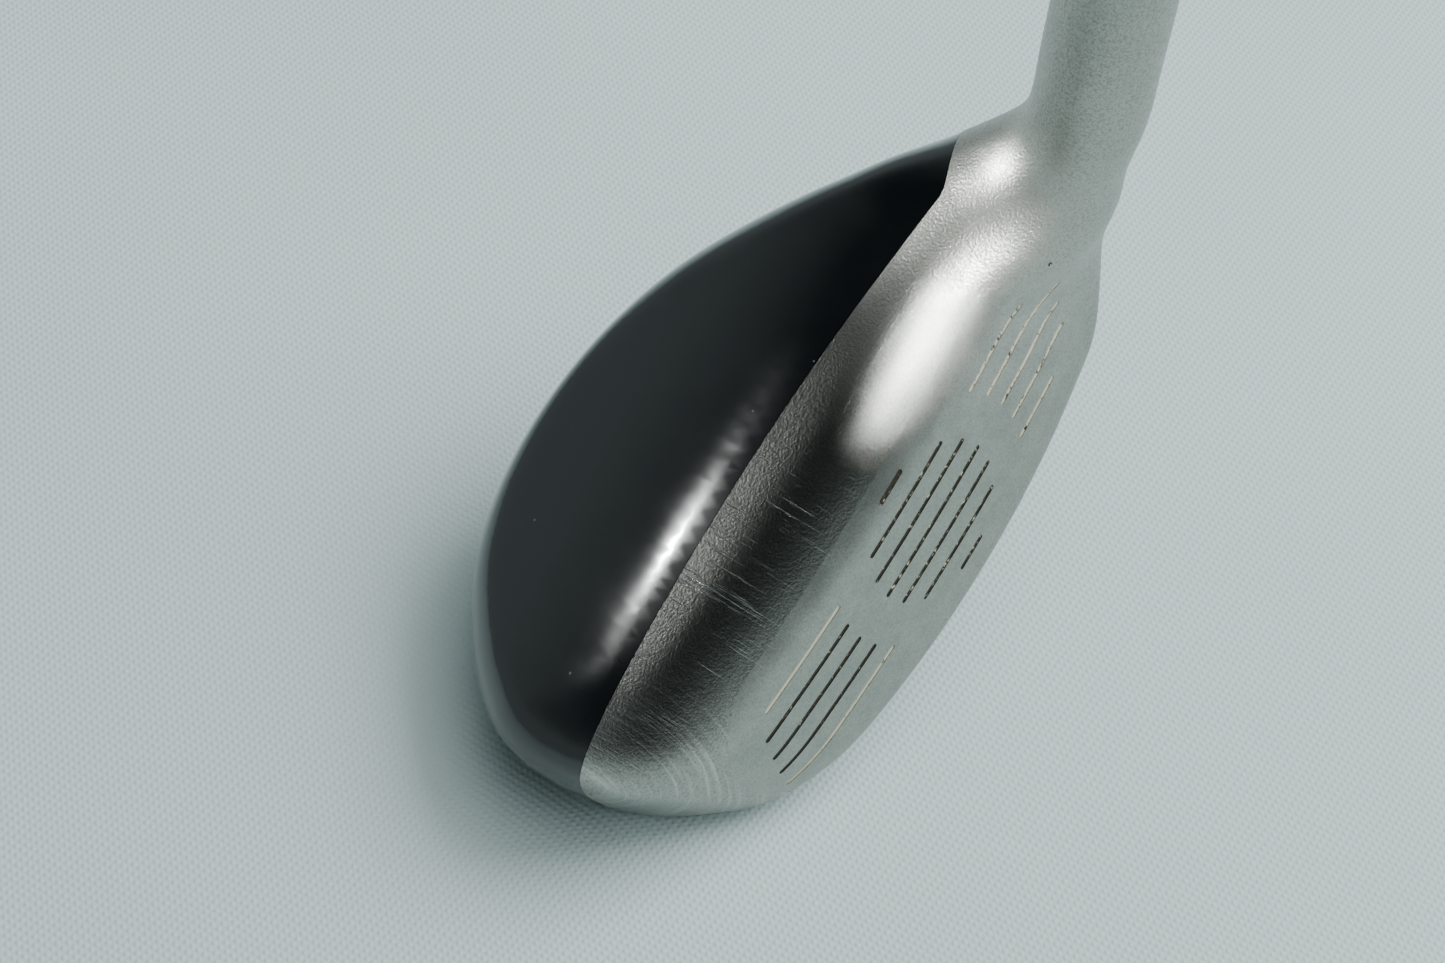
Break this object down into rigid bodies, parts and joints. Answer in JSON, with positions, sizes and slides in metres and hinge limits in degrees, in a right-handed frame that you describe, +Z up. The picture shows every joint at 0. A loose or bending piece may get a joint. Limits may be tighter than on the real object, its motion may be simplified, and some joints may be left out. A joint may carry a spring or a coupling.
{
  "type": "hybrid golf club",
  "caption": "Right-handed hybrid golf club: satin steel head with black crown, shallow scored face, hosel, ferrule, tapered shaft and rubber grip.",
  "frame": {"origin": "centre of the butt end of the grip, where the vent hole of the grip cap opens", "axes": "+Z up the shaft axis and out of the butt end, +X from the shaft towards the toe of the head, +Y the way the club face looks"},
  "size_m": [0.0957, 0.0629, 1.0359],
  "materials": {
    "blasted_steel": "bead-blasted stainless casting, satin, with brushed wear",
    "face_steel": "fine-ground satin stainless",
    "black_lacquer": "gloss black lacquer over steel",
    "structural_adhesive": "cured adhesive film",
    "score_paint": "worn cream line paint with dirt",
    "tungsten_screw": "turned dense alloy screw",
    "tungsten_block": "dense alloy block",
    "hot_melt": "tacky amber hot-melt",
    "cork": "agglomerated cork",
    "brass": "turned brass",
    "epoxy": "cured epoxy",
    "ferrule_plastic": "polished black cellulose acetate",
    "ring_metal": "bright turned ring",
    "graphite": "clear-coated carbon fibre composite, dark grey",
    "band_print": "silver print under clear coat",
    "tape": "double-sided paper grip tape",
    "grip_rubber": "moulded rubber with fine cord texture",
    "cap_rubber": "moulded rubber, smoother"
  },
  "bodies": {
    "root": {"head_body": "blasted_steel", "face_plate": "face_steel", "crown_shell": "black_lacquer", "crown_bond": "structural_adhesive", "score_fill_heel": "score_paint", "score_fill_centre": "score_paint", "score_fill_toe": "score_paint", "sole_weight": "tungsten_screw", "rear_weight": "tungsten_block", "hot_melt_pad": "hot_melt", "hosel_plug": "cork", "tip_pin": "brass", "shaft_bond": "epoxy", "ferrule": "ferrule_plastic", "ferrule_ring": "ring_metal", "shaft": "graphite", "shaft_band": "band_print", "grip_tape": "tape", "grip_sleeve": "grip_rubber", "grip_cap": "cap_rubber"}
  },
  "joints": []
}
